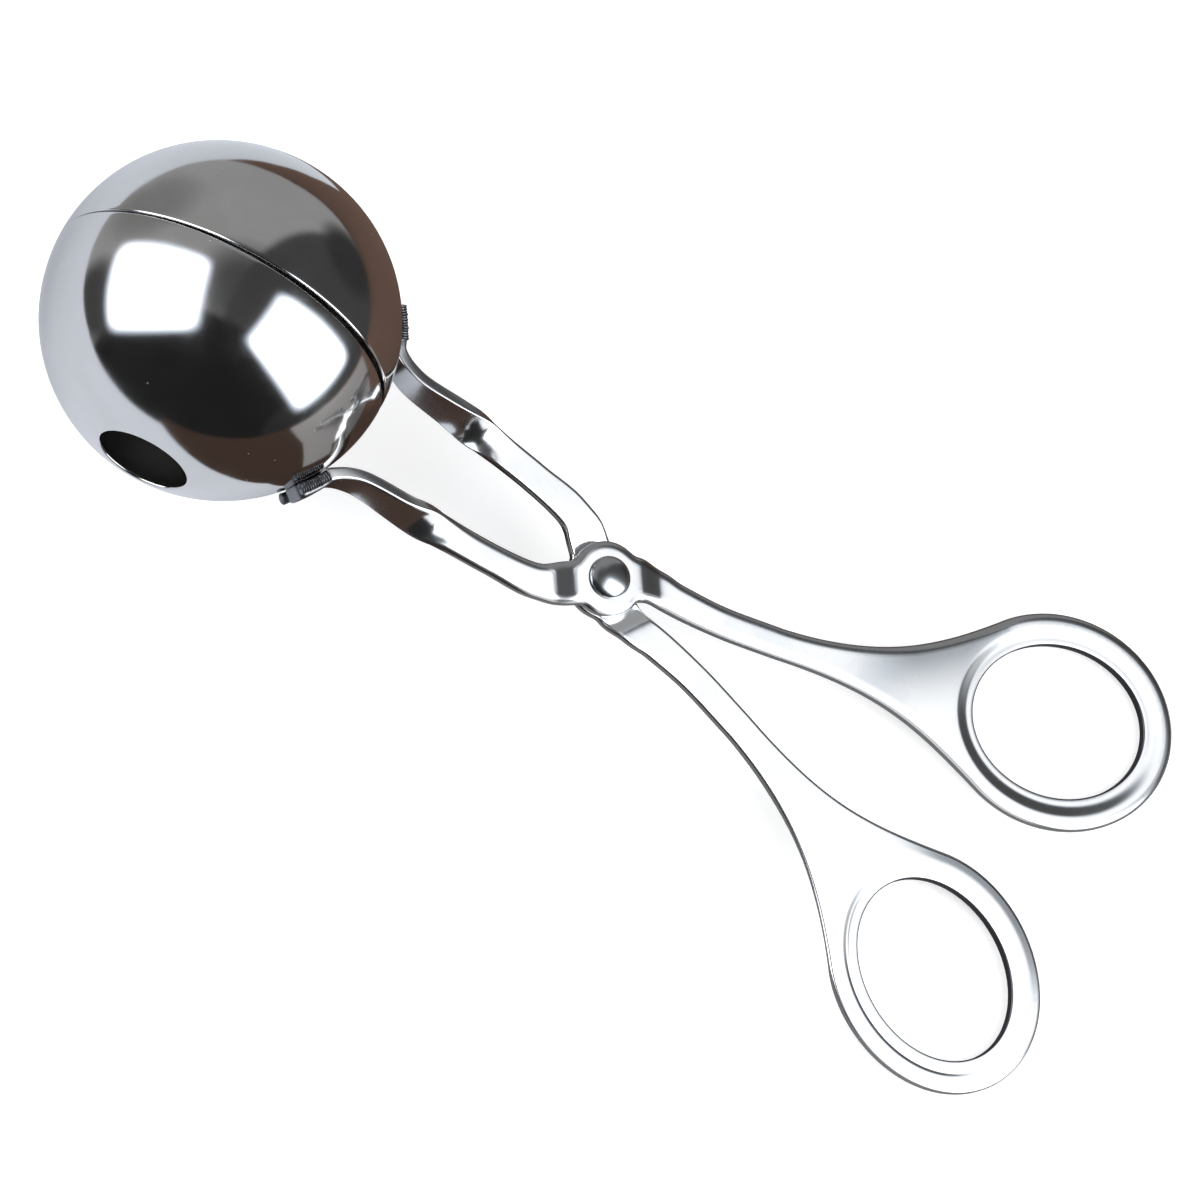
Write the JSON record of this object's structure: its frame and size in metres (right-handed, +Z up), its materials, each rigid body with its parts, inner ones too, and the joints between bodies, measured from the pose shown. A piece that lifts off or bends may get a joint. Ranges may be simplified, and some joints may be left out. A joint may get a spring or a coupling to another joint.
{
  "type": "meatball tongs",
  "caption": "Scissor tongs with a hollow steel ball split in half shells at the jaws and finger loops at the handles, for shaping and dropping meatballs.",
  "frame": {"origin": "middle of the footprint at table height, with the tongs lying shut on the ball and on both finger loops", "axes": "+X from the ball toward the finger loops, +Y toward the handle of the front arm, +Z up"},
  "size_m": [0.1962, 0.0838, 0.056],
  "materials": {
    "arm_steel": "bright polished stainless steel strip with rolled edges",
    "shell_steel": "mirror-polished deep-drawn stainless steel",
    "rivet_steel": "polished stainless steel",
    "weld_metal": "dark rough weld metal, unpolished"
  },
  "bodies": {
    "front_half": {"front_arm": "arm_steel", "front_shell": "shell_steel", "front_upper_weld": "weld_metal", "front_lower_weld": "weld_metal", "pivot_rivet": "rivet_steel"},
    "rear_half": {"rear_arm": "arm_steel", "rear_shell": "shell_steel", "rear_upper_weld": "weld_metal", "rear_lower_weld": "weld_metal"}
  },
  "joints": [
    {"name": "pivot", "type": "hinge", "parent": "front_half", "child": "rear_half", "pos_m": [0.00241, 0, 0.01635], "axis": [-0.1586, 0, -0.9873], "range_deg": [0, 52]}
  ]
}
